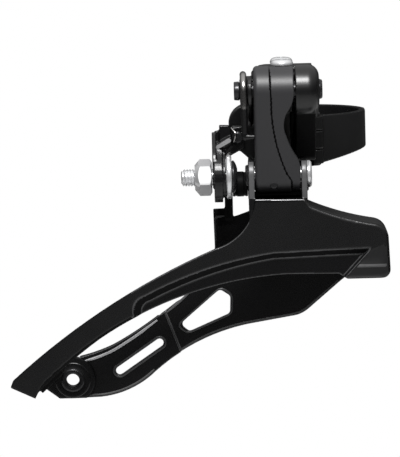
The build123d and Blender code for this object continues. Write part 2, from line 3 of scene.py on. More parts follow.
import json
import math

import bmesh
import bpy
from mathutils import Matrix, Vector


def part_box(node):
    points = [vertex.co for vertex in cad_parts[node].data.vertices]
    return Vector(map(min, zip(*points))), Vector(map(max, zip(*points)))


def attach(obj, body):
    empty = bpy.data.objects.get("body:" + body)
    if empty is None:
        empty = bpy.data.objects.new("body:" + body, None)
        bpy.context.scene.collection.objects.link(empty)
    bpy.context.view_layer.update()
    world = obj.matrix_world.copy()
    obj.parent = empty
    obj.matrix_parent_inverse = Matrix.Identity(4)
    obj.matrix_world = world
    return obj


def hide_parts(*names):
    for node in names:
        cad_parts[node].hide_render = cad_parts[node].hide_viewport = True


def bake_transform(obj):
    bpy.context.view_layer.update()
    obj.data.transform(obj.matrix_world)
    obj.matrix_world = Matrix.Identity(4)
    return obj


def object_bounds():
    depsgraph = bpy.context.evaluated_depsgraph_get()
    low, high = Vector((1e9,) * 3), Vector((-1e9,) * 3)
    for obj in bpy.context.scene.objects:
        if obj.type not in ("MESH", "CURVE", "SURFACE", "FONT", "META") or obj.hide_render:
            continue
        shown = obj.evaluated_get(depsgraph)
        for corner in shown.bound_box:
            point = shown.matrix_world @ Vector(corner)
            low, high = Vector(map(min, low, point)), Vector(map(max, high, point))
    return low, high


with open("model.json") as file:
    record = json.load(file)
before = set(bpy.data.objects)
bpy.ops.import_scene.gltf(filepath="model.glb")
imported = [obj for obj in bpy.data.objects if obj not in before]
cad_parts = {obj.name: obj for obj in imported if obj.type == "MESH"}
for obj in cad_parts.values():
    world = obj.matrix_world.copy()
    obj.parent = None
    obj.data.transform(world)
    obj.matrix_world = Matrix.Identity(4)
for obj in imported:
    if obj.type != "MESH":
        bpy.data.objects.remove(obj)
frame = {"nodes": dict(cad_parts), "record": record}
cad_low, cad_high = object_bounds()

MM = 0.001
scene = bpy.context.scene

# Which body each CAD node rides on, and the material slot it takes.
BODY_OF = {node: body for body, nodes in frame["record"]["behaviour"]["bodies"].items() for node in nodes}
SLOT_OF = {part["node"]: part["material_slot"] for part in frame["record"]["subparts"]}


def box_mm(node):
    """A node's lowest and highest corners, in mm."""
    low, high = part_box(node)
    return Vector(low) / MM, Vector(high) / MM


# ---------------------------------------------------------------- materials
def material(name, color, rough, metallic=0.0, coat=0.0, coat_rough=0.1, spec=0.5, vary=0.0,
             grain=0.0, grain_scale=1500.0, bump=0.0, streak=None):
    """A procedural surface: large noise varies its tone, fine noise its roughness and relief."""
    mat = bpy.data.materials.new(name)
    mat.use_nodes = True
    nodes, links = mat.node_tree.nodes, mat.node_tree.links
    shader = nodes["Principled BSDF"]
    shader.inputs["Base Color"].default_value = (*color, 1)
    shader.inputs["Roughness"].default_value = rough
    shader.inputs["Metallic"].default_value = metallic
    shader.inputs["Coat Weight"].default_value = coat
    shader.inputs["Coat Roughness"].default_value = coat_rough
    shader.inputs["Specular IOR Level"].default_value = spec
    place = nodes.new("ShaderNodeTexCoord")
    stretch = nodes.new("ShaderNodeMapping")
    stretch.inputs["Scale"].default_value = streak or (1, 1, 1)
    links.new(place.outputs["Object"], stretch.inputs["Vector"])
    fine = nodes.new("ShaderNodeTexNoise")
    fine.inputs["Scale"].default_value = grain_scale
    fine.inputs["Detail"].default_value = 5
    links.new(stretch.outputs["Vector"], fine.inputs["Vector"])
    if vary:
        broad = nodes.new("ShaderNodeTexNoise")
        broad.inputs["Scale"].default_value = 90
        broad.inputs["Detail"].default_value = 3
        links.new(place.outputs["Object"], broad.inputs["Vector"])
        ramp = nodes.new("ShaderNodeMapRange")
        ramp.inputs["To Min"].default_value = 1 - vary
        ramp.inputs["To Max"].default_value = 1 + vary
        links.new(broad.outputs["Fac"], ramp.inputs["Value"])
        tone = nodes.new("ShaderNodeVectorMath")
        tone.operation = "SCALE"
        tone.inputs[0].default_value = color
        links.new(ramp.outputs["Result"], tone.inputs["Scale"])
        links.new(tone.outputs["Vector"], shader.inputs["Base Color"])
    if grain:
        spread = nodes.new("ShaderNodeMapRange")
        spread.inputs["To Min"].default_value = max(0.02, rough - grain)
        spread.inputs["To Max"].default_value = min(1.0, rough + grain)
        links.new(fine.outputs["Fac"], spread.inputs["Value"])
        links.new(spread.outputs["Result"], shader.inputs["Roughness"])
    if bump:
        relief = nodes.new("ShaderNodeBump")
        relief.inputs["Strength"].default_value = bump
        relief.inputs["Distance"].default_value = 0.00004
        links.new(fine.outputs["Fac"], relief.inputs["Height"])
        links.new(relief.outputs["Normal"], shader.inputs["Normal"])
    return mat


SATIN = material("satin_black_coat", (0.0045, 0.0045, 0.0048), 0.25, grain=0.04, grain_scale=1800, bump=0.04,
                 vary=0.25)
# Painted highlight: a lighter, partly metallic copy of the black coat, for edges, folds and the nose ridge
# where light catches them.
EDGE_HIGHLIGHT = material("edge_painted_highlight", (0.11, 0.11, 0.112), 0.4, metallic=0.35, grain=0.08, vary=0.2, bump=0.1)
# Painted highlight: a bright metal for the lit lines along the inner plate's rear lip and across the cable
# arm's fold.
BRIGHT_HIGHLIGHT = material("fold_painted_highlight", (0.55, 0.55, 0.56), 0.3, metallic=0.6, grain=0.08, grain_scale=1500,
                  vary=0.15, bump=0.08)
# Painted light: the satin coat made lighter on the outer plate's raised panel, where the light falls on it.
PANEL_PAINTED_LIGHT = material("satin_black_panel_painted_light", (0.0085, 0.0085, 0.0088), 0.27, grain=0.04, grain_scale=1800, bump=0.04,
                 vary=0.3)
# Painted light: a lighter copy of the satin coat for the outer plate's rounded nose, as its curve catches the
# light.
NOSE_PAINTED_LIGHT = material("satin_black_nose_painted_light", (0.02, 0.02, 0.0205), 0.3, metallic=0.2, grain=0.04, grain_scale=1800,
                bump=0.04, vary=0.2)
# Painted highlight: a bright metal along the folded neck of the outer plate.
NECK_HIGHLIGHT = material("bend_painted_highlight", (0.3, 0.3, 0.305), 0.35, metallic=0.4, grain=0.08, vary=0.2, bump=0.1)
# Painted highlight: a lighter metal for the plates' rims and edge lines that catch the light.
RIM_HIGHLIGHT = material("rim_painted_highlight", (0.075, 0.075, 0.077), 0.32, metallic=0.45, grain=0.08, vary=0.25, bump=0.1)
# Painted shade: a dark coat with almost no reflection, for recess walls, undersides, the tail and hollows
# that lie in shade.
DULL_PAINTED_SHADE = material("dull_wall_painted_shade", (0.004, 0.004, 0.0042), 0.55, spec=0.08, grain=0.05, vary=0.2)
# Painted shade: a less reflective copy of the satin coat, darkening the top of the cage's bridge.
BRIDGE_PAINTED_SHADE = material("dull_bridge_painted_shade", (0.0045, 0.0045, 0.0047), 0.4, spec=0.22, grain=0.05, vary=0.2,
                  bump=0.04)
SHADE = material("unlit_recess", (0.003, 0.003, 0.003), 0.9, spec=0.0, grain=0.05)
GLOSS = material("gloss_black_paint", (0.0022, 0.0022, 0.0024), 0.34, coat=0.3, coat_rough=0.27, grain=0.03,
                 grain_scale=900, vary=0.2, bump=0.04)
GREY = material("dark_grey_paint", (0.025, 0.0248, 0.0265), 0.43, grain=0.05, grain_scale=2600, bump=0.2,
                vary=0.12)
ZINC = material("zinc_plate", (0.86, 0.865, 0.875), 0.22, metallic=0.68, grain=0.04, grain_scale=500,
                bump=0.03, vary=0.03)
# Painted highlight: a lighter copy of the zinc plating for the nut's front flats.
ZINC_HIGHLIGHT = material("zinc_plate_painted_highlight", (0.97, 0.97, 0.975), 0.3, metallic=0.35, grain=0.04, grain_scale=500,
                     bump=0.03, vary=0.02)
# Painted shade: a darker copy of the zinc plating for the nut's top and underside facets.
ZINC_PAINTED_SHADE = material("zinc_plate_painted_shade", (0.5, 0.5, 0.51), 0.3, metallic=0.6, grain=0.05,
                      grain_scale=500, bump=0.05, vary=0.25)
# Painted light: a lighter copy of the satin coat for the outside of the clamp band.
BAND_PAINTED_LIGHT = material("satin_black_band_painted_light", (0.0092, 0.0092, 0.0095), 0.3, grain=0.04, grain_scale=1800, bump=0.04,
                vary=0.3)
BLACK_STEEL = material("black_oxide", (0.045, 0.045, 0.047), 0.28, metallic=0.7, grain=0.06, grain_scale=1200,
                       vary=0.2, bump=0.06)
SPRING = material("spring_wire", (0.42, 0.41, 0.40), 0.22, metallic=1.0, grain=0.05, grain_scale=1200,
                  vary=0.15, bump=0.05)
PLASTIC = material("black_plastic", (0.006, 0.006, 0.006), 0.45, grain=0.05, vary=0.2, bump=0.1)

LOOKS = {
    "gloss_black_casting": GLOSS,
    "black_coated_steel": SATIN,
    "dark_grey_casting": GREY,
    "zinc_steel": ZINC,
    "black_steel": BLACK_STEEL,
    "black_plastic": PLASTIC,
}
for node, slot_name in SLOT_OF.items():
    mesh = frame["nodes"][node].data
    mesh.materials.clear()
    mesh.materials.append(LOOKS[slot_name])


# ---------------------------------------------------------------- mesh helpers
def publish(bm, name, node, look=None, replace=True, smooth=40, ride=True):
    """Turns a bmesh whose points are in the row frame into a piece that rides with a node's body."""
    mesh = bpy.data.meshes.new(name)
    bm.normal_update()
    for face in bm.faces:
        face.smooth = True
    for edge in bm.edges:
        if len(edge.link_faces) == 2:
            edge.smooth = edge.calc_face_angle(0) < math.radians(smooth)
    bm.to_mesh(mesh)
    bm.free()
    piece = bpy.data.objects.new(name, mesh)
    scene.collection.objects.link(piece)
    mesh.materials.append(look or LOOKS[SLOT_OF[node]])
    if ride:
        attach(piece, BODY_OF[node])
    if replace:
        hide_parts(node)
    return piece


AXES = {"X": (Vector((1, 0, 0)), Vector((0, 1, 0)), Vector((0, 0, 1))),
        "Y": (Vector((0, 1, 0)), Vector((0, 0, 1)), Vector((1, 0, 0))),
        "Z": (Vector((0, 0, 1)), Vector((1, 0, 0)), Vector((0, 1, 0)))}


def rings(axis, centre, rows, count, closed=True):
    """A surface of rings about an axis: each row gives (position along it, radius) per angle."""
    along, u, v = AXES[axis]
    bm = bmesh.new()
    loops = []
    for row in rows:
        loop = []
        for i in range(count):
            turn = 2 * math.pi * i / count
            place, radius = row(turn) if callable(row) else row
            point = Vector(centre) + along * place + (u * math.cos(turn) + v * math.sin(turn)) * radius
            loop.append(bm.verts.new(point * MM))
        loops.append(loop)
    pairs = list(zip(loops, loops[1:])) + ([(loops[-1], loops[0])] if closed else [])
    for a, b in pairs:
        for i in range(count):
            j = (i + 1) % count
            bm.faces.new((a[i], a[j], b[j], b[i]))
    if not closed:
        bm.faces.new(list(reversed(loops[0])))
        bm.faces.new(loops[-1])
    bmesh.ops.recalc_face_normals(bm, faces=bm.faces)
    return bm


def rounded(points, radius):
    """An (along, radius) profile with its inner corners rounded."""
    steps = 3
    out = [points[0]]
    for before, here, after in zip(points, points[1:], points[2:]):
        a, b, c = Vector(before), Vector(here), Vector(after)
        size = min(radius, (a - b).length * 0.45, (c - b).length * 0.45)
        start, end = b + (a - b).normalized() * size, b + (c - b).normalized() * size
        for i in range(steps + 1):
            t = i / steps
            out.append(tuple((1 - t) ** 2 * start + 2 * t * (1 - t) * b + t ** 2 * end))
    out.append(points[-1])
    return out


def turned(name, node, axis, centre, points, radius, look=None, replace=True):
    """A solid turned part from an (along, radius) profile, its corners rounded."""
    tiny = 0.02
    rows = rounded([(points[0][0], tiny)] + list(points) + [(points[-1][0], tiny)], radius)
    return publish(rings(axis, centre, rows, 64, closed=False), name, node, look, replace)


def paint(piece, look, test):
    """Gives the faces that pass test(centre in mm, normal) another material."""
    piece.data.materials.append(look)
    index = len(piece.data.materials) - 1
    for face in piece.data.polygons:
        if test(face.center / MM, face.normal):
            face.material_index = index


def prism(bm, axis, limits, outline):
    """Adds a closed prism along an axis; outline holds the two other coordinates in X, Y, Z order."""
    k = "XYZ".index(axis)
    loops = []
    for place in limits:
        loop = []
        for pair in outline:
            point = list(pair)
            point.insert(k, place)
            loop.append(bm.verts.new(Vector(point) * MM))
        loops.append(loop)
    bm.faces.new(loops[0])
    bm.faces.new(list(reversed(loops[1])))
    for i in range(len(outline)):
        j = (i + 1) % len(outline)
        bm.faces.new((loops[0][j], loops[0][i], loops[1][i], loops[1][j]))


def wire(name, node, points, radius, look, replace=True, ride=True):
    """A round wire swept along points in mm, with closed rounded ends."""
    bm = bmesh.new()
    sides = 20
    path = [Vector(p) for p in points]
    side = Vector((1, 0, 0))
    loops = []
    count = len(path)
    for i, here in enumerate(path):
        ahead = (path[min(i + 1, count - 1)] - path[max(i - 1, 0)]).normalized()
        side = (side - ahead * side.dot(ahead)).normalized()
        other = ahead.cross(side)
        size = radius * (0.6 if i in (0, count - 1) else 1.0)
        loops.append([bm.verts.new((here + (side * math.cos(2 * math.pi * j / sides)
                                            + other * math.sin(2 * math.pi * j / sides)) * size) * MM)
                      for j in range(sides)])
    for a, b in zip(loops, loops[1:]):
        for j in range(sides):
            k = (j + 1) % sides
            bm.faces.new((a[j], a[k], b[k], b[j]))
    bm.faces.new(list(reversed(loops[0])))
    bm.faces.new(loops[-1])
    bmesh.ops.recalc_face_normals(bm, faces=bm.faces)
    return publish(bm, name, node, look, replace, ride=ride)


def bend(points, steps, size):
    """A run of points, in 2-D or 3-D, with its inner corners rounded."""
    out = [Vector(points[0])]
    for before, here, after in zip(points, points[1:], points[2:]):
        a, b, c = Vector(before), Vector(here), Vector(after)
        reach = min(size, (a - b).length * 0.45, (c - b).length * 0.45)
        start, end = b + (a - b).normalized() * reach, b + (c - b).normalized() * reach
        for i in range(steps + 1):
            t = i / steps
            out.append((1 - t) ** 2 * start + 2 * t * (1 - t) * b + t ** 2 * end)
    out.append(Vector(points[-1]))
    return out


def moulded(name, node, build, voxel, rounds, keep):
    """A soft-edged solid: overlapping prisms from build(bm) fused by a remesh, then smoothed and thinned."""
    bm = bmesh.new()
    build(bm)
    bmesh.ops.recalc_face_normals(bm, faces=bm.faces)
    mesh = bpy.data.meshes.new("raw")
    bm.to_mesh(mesh)
    bm.free()
    finish_soft(name, node, mesh, voxel, rounds, keep)


def finish_soft(name, node, mesh, voxel, rounds, keep):
    """Remeshes, smooths and thins a raw mesh, and publishes it."""
    source = bpy.data.objects.new("source", mesh)
    scene.collection.objects.link(source)
    remesh = source.modifiers.new("remesh", "REMESH")
    remesh.mode = "VOXEL"
    remesh.voxel_size = voxel * MM
    soften = source.modifiers.new("soften", "SMOOTH")
    soften.factor = 0.5
    soften.iterations = rounds
    thin = source.modifiers.new("thin", "DECIMATE")
    thin.ratio = keep
    shown = source.evaluated_get(bpy.context.evaluated_depsgraph_get())
    bm = bmesh.new()
    bm.from_mesh(bpy.data.meshes.new_from_object(shown))
    bpy.data.objects.remove(source)
    for vert in bm.verts:
        for k in range(3):
            vert.co[k] = min(max(vert.co[k], cad_low[k]), cad_high[k])
    return publish(bm, name, node, smooth=60)


def cast(node, voxel, rounds, keep):
    """A copy of a node with the soft edges of a casting or of coated sheet."""
    mesh = frame["nodes"][node].data.copy()
    return finish_soft(node + "_skin", node, mesh, voxel, rounds, keep)


def hull(first, r_first, second, r_second):
    """Outline of two round ends joined by tangents."""
    steps = 30
    a, b = Vector(first), Vector(second)
    gap = (b - a).length
    lean = math.acos((r_first - r_second) / gap)
    base = math.atan2(b.y - a.y, b.x - a.x)
    points = []
    for centre, radius, start, end in ((a, r_first, base + lean, base + 2 * math.pi - lean),
                                       (b, r_second, base - lean, base + lean)):
        for i in range(steps + 1):
            turn = start + (end - start) * i / steps
            points.append((centre.x + radius * math.cos(turn), centre.y + radius * math.sin(turn)))
    return points


def arc(first, middle, last):
    """Points on the circle through three points."""
    count = 14
    a, b, c = (complex(*p) for p in (first, middle, last))
    w = (c - a) / (b - a)
    centre = a + (b - a) * (w - abs(w) ** 2) / (2j * w.imag)
    start = math.atan2((a - centre).imag, (a - centre).real)
    sweep = (math.atan2((c - centre).imag, (c - centre).real) - start) % (2 * math.pi)
    between = (math.atan2((b - centre).imag, (b - centre).real) - start) % (2 * math.pi)
    if between > sweep:
        sweep -= 2 * math.pi
    radius = abs(a - centre)
    return [(centre.real + radius * math.cos(start + sweep * i / count),
             centre.imag + radius * math.sin(start + sweep * i / count)) for i in range(count + 1)]


def inset(points, distance):
    """A run of 2-D points moved sideways, to the left of its direction."""
    out = []
    for i, here in enumerate(points):
        before, after = Vector(points[max(i - 1, 0)]), Vector(points[min(i + 1, len(points) - 1)])
        ahead = (after - before).normalized()
        out.append((here[0] - ahead.y * distance, here[1] + ahead.x * distance))
    return out


# ---------------------------------------------------------------- soft-edged skins and the light and shade painted on them
# The nodes shown as skins: voxel size in mm, rounds of smoothing, share of the faces that is kept.
SKINS = {}
for node, voxel, rounds, keep in (
    ("fixed_bracket", 0.24, 5, 0.3),
    ("outer_link", 0.2, 3, 0.3),
    ("inner_link", 0.28, 3, 0.4),
    ("clamp_band", 0.25, 3, 0.35),
    ("outer_cage_plate", 0.2, 9, 0.3),
    ("inner_cage_plate", 0.2, 13, 0.35),
    ("clamp_bolt", 0.14, 1, 0.4),
    ("clamp_nut", 0.2, 1, 0.4),
):
    SKINS[node] = cast(node, voxel, rounds, keep)


def recess_end(z):
    """Where the slanting end of the cage's recess lies at a height, in mm."""
    return 18.6 + (z + 29.7) * 0.93


# The outer cage plate's panel and nose are painted lighter, as lit; its rims, ear edges and folded neck carry
# painted highlights; its bridge top, recess walls, tail and shelf carry painted shade. The panel's face is
# all in front of PANEL_FRONT.
PANEL_FRONT, EAR_FOOT = -48.2, -15.3
NECK_LEFT, NECK_RIGHT = -14.6, -0.3
RIDGE_GAP = 0.6
plate = SKINS["outer_cage_plate"]
paint(plate, PANEL_PAINTED_LIGHT, lambda c, n: n.y < -0.9 and c.y < PANEL_FRONT and c.z < -16.2)
paint(plate, RIM_HIGHLIGHT, lambda c, n: -0.95 < n.y < -0.45 and c.y < -45.0
      and (c.x < -16.3 or c.z < -30.0 and c.x < 20.0)
      or -0.85 < n.y < -0.7 and c.y < -47.0 and 0.8 < c.x < 17.0)
paint(plate, BRIDGE_PAINTED_SHADE, lambda c, n: n.z > 0.55 and c.x > 0.8 and c.z > -27.0)
paint(plate, NOSE_PAINTED_LIGHT, lambda c, n: n.y < -0.9 and c.y < PANEL_FRONT and c.z < -29.5
      and c.x - recess_end(c.z) > RIDGE_GAP)
paint(plate, DULL_PAINTED_SHADE, lambda c, n: -48.15 < c.y < -46.95 and n.y < -0.3 and n.z < 0.3 and c.z < -29.0
      and c.x < 19.2 or c.x < -50.3 and n.y > -0.97)
paint(plate, SHADE, lambda c, n: c.y > -47.9 and -15.9 < c.z < -15.0 and n.z > 0.6
      and NECK_LEFT < c.x < NECK_RIGHT)
paint(plate, EDGE_HIGHLIGHT, lambda c, n: c.y < -43.5 and c.z > EAR_FOOT and n.y < -0.45
      and (-16.3 < c.x < -14.2 or -1.2 < c.x < 0.8))
paint(plate, NECK_HIGHLIGHT, lambda c, n: c.y < -47.7 and -16.0 < c.z < EAR_FOOT and 0.25 < n.z < 0.95
      and NECK_LEFT < c.x < NECK_RIGHT)

# The nose carries a low ridge across it: it swells out downwards and drops back sharply.
RIDGE_TOP, RIDGE_FOOT, RIDGE_RIGHT, RIDGE_HEIGHT = -31.2, -35.7, 22.9, 0.45
RIDGE_BACK, PANEL_Y, RIDGE_ROWS = -48.2, -48.45, 16
ridge = bmesh.new()
prism(ridge, "X", (0.0, 1.0), [(RIDGE_BACK, RIDGE_TOP), (PANEL_Y, RIDGE_TOP)]
      + [(PANEL_Y - 0.1, RIDGE_TOP + (RIDGE_FOOT - RIDGE_TOP) * i / RIDGE_ROWS) for i in range(1, RIDGE_ROWS)]
      + [(PANEL_Y, RIDGE_FOOT), (RIDGE_BACK, RIDGE_FOOT)])
for vert in ridge.verts:
    left = recess_end(vert.co.z / MM) + RIDGE_GAP
    vert.co.x = (left if vert.co.x < 0.5 * MM else RIDGE_RIGHT) * MM
lengthwise = [e for e in ridge.edges if abs(e.verts[0].co.x - e.verts[1].co.x) > 2 * MM]
bmesh.ops.subdivide_edges(ridge, edges=lengthwise, cuts=9)
for vert in ridge.verts:
    x, y, z = vert.co / MM
    left = recess_end(z) + RIDGE_GAP
    along = min(1.0, max(0.0, (x - left) / (RIDGE_RIGHT - left)))
    down = min(1.0, max(0.0, (RIDGE_TOP - z) / (RIDGE_TOP - RIDGE_FOOT)))
    swell = max(0.0, math.sin(math.pi * along)) ** 0.4
    height = RIDGE_HEIGHT * min(1.0, down / 0.85) ** 2 * min(1.0, (1.0 - down) / 0.12) * swell
    if y < RIDGE_BACK - 0.1:
        vert.co.y = (PANEL_Y - height + (0.15 if along > 0.99 else 0.0)) * MM
bmesh.ops.recalc_face_normals(ridge, faces=ridge.faces)
nose = publish(ridge, "nose_ridge", "outer_cage_plate", NOSE_PAINTED_LIGHT, replace=False)
# A painted highlight band lies on the ridge's lower slope, and its foot is painted satin black as shade.
paint(nose, EDGE_HIGHLIGHT, lambda c, n: RIDGE_FOOT + 0.3 < c.z < RIDGE_FOOT + 1.15)
paint(nose, SATIN, lambda c, n: c.z < RIDGE_FOOT + 0.3)

# The outer link's stepped seam reads as a dark line.
paint(SKINS["outer_link"], SHADE, lambda c, n: n.x > 0.25 and n.y < -0.3 and c.y < -43.0
      and abs(c.x + 9.3 - 4.1 * max(0.0, (12.2 - c.z) / 20.6) ** 2) < 0.75)

# Painted highlights on the inner plate's rims and its step, painted shade on its ear, and the dip in its top
# edge beside the cage's left ear.
DIP_LEFT, DIP_RIGHT, DIP_FOOT, DIP_DEPTH = -21.4, -14.2, -24.0, 2.7
inner = SKINS["inner_cage_plate"]
paint(inner, RIM_HIGHLIGHT, lambda c, n: -0.95 < n.y < -0.35 and c.z < DIP_FOOT)
paint(inner, EDGE_HIGHLIGHT, lambda c, n: -0.965 < n.y < -0.5 and c.z < -40.0 and n.z < -0.2)
for vert in inner.data.vertices:
    x, y, z = vert.co / MM
    if DIP_LEFT < x < DIP_RIGHT and z > DIP_FOOT:
        along = (x - DIP_LEFT) / (DIP_RIGHT - DIP_LEFT)
        dip = DIP_DEPTH * min(1.0, along / 0.1) * (1.0 - along) ** 0.7
        vert.co.z -= dip * min(1.0, (z - DIP_FOOT) / 4.7) * MM
paint(inner, EDGE_HIGHLIGHT, lambda c, n: -0.97 < n.y < -0.3 and -62.0 < c.z < -48.5
      and abs(c.x + 40.9 + (c.z + 48.7) * 0.37) < 1.3)
paint(inner, DULL_PAINTED_SHADE, lambda c, n: c.z > DIP_FOOT and c.x > -25.0)

# The band's outside is painted lighter, as lit, and its top edge carries painted shade. Its axis is the
# frame's Z.
paint(SKINS["clamp_band"], BAND_PAINTED_LIGHT, lambda c, n: abs(n.z) < 0.5 and n.x * c.x + n.y * c.y > 0)
paint(SKINS["clamp_band"], DULL_PAINTED_SHADE, lambda c, n: n.z > 0.5)

# The bracket's underside carries painted shade.
paint(SKINS["fixed_bracket"], DULL_PAINTED_SHADE, lambda c, n: n.y < -0.2 and c.z < 8.5 and c.x > -3.0 and c.y < -28.0)

# The bracket's top edge falls away behind the outer link's rounded corner.
for vert in SKINS["fixed_bracket"].data.vertices:
    x, y, z = vert.co / MM
    if x < -11.0 and z > 17.5:
        vert.co.z -= 2.4 * min(1.0, (-11.0 - x) / 3.4) ** 2 * min(1.0, (z - 17.5) / 3.5) * MM


# ---------------------------------------------------------------- turned pieces
def ring_piece(name, node, axis, centre, profile, radius, look=None, replace=True):
    """A turned ring: a closed (along, radius) profile, its corners rounded."""
    points = list(profile)
    first = tuple((Vector(points[0]) + Vector(points[-1])) / 2)
    rows = rounded([first] + points + [first], radius)[:-1]
    publish(rings(axis, centre, rows, 72), name, node, look, replace)


def pin_piece(node, axis, profile, look=None, radius=0.3):
    """A turned pin, rivet or washer from its (along, radius) profile about a node's own axis."""
    low, high = box_mm(node)
    middle = (low + high) / 2
    middle["XYZ".index(axis)] = 0
    return turned(node + "_skin", node, axis, middle, profile, radius, look)


def span(node, axis):
    """First and last position of a node along an axis, in mm."""
    low, high = box_mm(node)
    k = "XYZ".index(axis)
    return low[k], high[k]


a, b = span("outer_upper_pin", "X")
pin_piece("outer_upper_pin", "X", [(a, 2.0), (a, 2.6), (a + 1.4, 2.7), (a + 1.6, 2.45), (b - 0.95, 2.45),
                                    (b - 0.9, 2.9), (b, 2.6)])
a, b = span("inner_upper_pin", "X")
pin_piece("inner_upper_pin", "X", [(a, 2.4), (a + 0.75, 2.6), (a + 0.8, 1.95), (b, 1.95)])
a, b = span("outer_lower_pin", "X")
low_pin = pin_piece("outer_lower_pin", "X", [(a, 2.7), (a + 0.75, 3.1), (a + 0.8, 2.15), (b - 1.42, 2.15),
                                             (b - 1.4, 3.85), (b - 0.5, 3.9), (b, 3.3)])
paint(low_pin, BLACK_STEEL, lambda c, n: c.x < -10)
a, b = span("inner_lower_pin", "X")
pin_piece("inner_lower_pin", "X", [(a, 2.5), (a + 0.75, 2.9), (a + 0.8, 1.95), (b - 0.72, 1.95),
                                   (b - 0.7, 2.6), (b, 2.3)])
# The cage spacer takes the dull coat: painted shade.
a, b = span("cage_spacer", "X")
pin_piece("cage_spacer", "X", [(a, 3.5), (a + 0.5, 3.6), (a + 0.9, 3.35), (a + 1.3, 3.6), (b - 1.3, 3.6),
                               (b - 0.9, 3.35), (b - 0.5, 3.6), (b, 3.5)], look=DULL_PAINTED_SHADE, radius=0.15)
a, b = span("arm_rivet", "Y")
pin_piece("arm_rivet", "Y", [(a, 1.2), (a + 0.25, 1.7), (a + 0.85, 1.9), (a + 0.9, 1.25), (b, 1.25)],
          radius=0.35)
for node in ("front_rivet_rear", "front_rivet_fore"):
    a, b = span(node, "Y")
    pin_piece(node, "Y", [(a, 1.9), (a + 0.45, 2.6), (a + 0.88, 2.8), (a + 0.9, 1.55), (b - 0.9, 1.55),
                          (b - 0.88, 2.8), (b - 0.45, 2.6), (b, 1.9)], radius=0.35)
a, b = span("band_hinge_pin", "Z")
pin_piece("band_hinge_pin", "Z", [(a, 1.5), (a + 0.35, 1.9), (a + 0.78, 1.9), (a + 0.8, 1.18),
                                  (b - 0.8, 1.18), (b - 0.78, 1.9), (b - 0.35, 1.9), (b, 1.5)], radius=0.25)


# A small boss at the outer link's foot, the plain and domed rings, and the cage's hollow tail rivet.
turned("link_boss", "outer_link", "Y", Vector((-8.9, 0, -11.5)),
       [(-47.1, 0.6), (-46.95, 1.05), (-46.3, 1.25), (-45.9, 1.25)], 0.2, look=BLACK_STEEL, replace=False)
low, high = box_mm("cable_washer")
anchor = (low + high) / 2
anchor.x = 0
ring_piece("cable_washer_skin", "cable_washer", "X", anchor,
           [(low.x, 2.55), (low.x, 6.0), (low.x + 0.5, 6.3), (high.x - 0.4, 6.3), (high.x, 5.9),
            (high.x, 2.55)], radius=0.3)
for node, bore, rim in (("clamp_washer", 2.56, 4.4), ("spring_bush", 2.5, 3.3)):
    low, high = box_mm(node)
    middle = Vector((0, (low.y + high.y) / 2, (low.z + high.z) / 2))
    ring_piece(node + "_skin", node, "X", middle,
               [(low.x, bore), (low.x, rim), (high.x, rim), (high.x, bore)], radius=0.2)
low, high = box_mm("tail_rivet")
tail = Vector(((low.x + high.x) / 2, 0, (low.z + high.z) / 2))
ring_piece("tail_rivet_skin", "tail_rivet", "Y", tail,
           [(low.y, 2.2), (low.y, 3.0), (low.y + 0.35, 3.4), (low.y + 0.7, 3.4), (low.y + 0.72, 2.55),
            (high.y - 0.72, 2.55), (high.y - 0.7, 3.6), (high.y - 0.3, 3.5), (high.y, 3.1), (high.y, 2.2),
            (high.y - 0.5, 1.85), (low.y + 0.5, 1.85)], radius=0.2)
ring_piece("tail_boss", "tail_rivet", "Y", tail,
           [(low.y + 0.42, 3.3), (low.y + 0.4, 4.9), (low.y + 0.6, 5.15), (low.y + 0.8, 5.15),
            (low.y + 0.8, 3.3)], look=SATIN, replace=False, radius=0.12)

# Anchor bolt: black domed head and shank, and a zinc end with a real thread.
low, high = box_mm("cable_anchor_bolt")
THREAD_PITCH, THREAD_R, THREAD_DEPTH = 0.8, 2.48, 0.42
thread_end = box_mm("cable_nut")[0].x + 1.0


def thread_rows(start, end, turns_step=0.1):
    """Rows of a helical thread between two positions, tapering in at its start."""
    rows = []
    count = int((end - start) / turns_step)
    for i in range(count + 1):
        place = start + (end - start) * i / count
        taper = min(1.0, (place - start) / 0.7)

        def row(turn, place=place, taper=taper):
            phase = (place / THREAD_PITCH - turn / (2 * math.pi)) % 1.0
            groove = abs(phase - 0.5) * 2
            return place, (THREAD_R - THREAD_DEPTH * (1 - groove)) * (0.72 + 0.28 * taper)

        rows.append(row)
    return rows


rows = [(low.x, 0.02)] + thread_rows(low.x, thread_end) + [(thread_end, 2.4), (high.x - 1.6, 2.4)]
rows += rounded([(high.x - 1.6, 2.4), (high.x - 1.58, 4.5), (high.x - 1.1, 4.7), (high.x - 0.5, 3.9),
                 (high.x, 2.4), (high.x, 0.02)], 0.4)
bolt = publish(rings("X", anchor, rows, 72, closed=False), "cable_anchor_bolt_skin", "cable_anchor_bolt")
paint(bolt, BLACK_STEEL, lambda c, n: c.x > high.x - 2.2)

# Anchor nut: a hexagon with both faces chamfered to a cone.
low, high = box_mm("cable_nut")
NUT_R = 4.6     # half its width across flats
NUT_TURN = math.radians(17)


def nut_row(end, inward, level, core=0.93, slope=0.62):
    """One ring of the nut: the hexagon's radius, drawn back along a cone where it passes the chamfer."""
    def row(turn):
        rim = NUT_R / math.cos((turn - NUT_TURN) % (math.pi / 3) - math.pi / 6)
        radius = NUT_R * core + (rim - NUT_R * core) * level
        return end + inward * (radius - NUT_R * core) * slope, radius
    return row


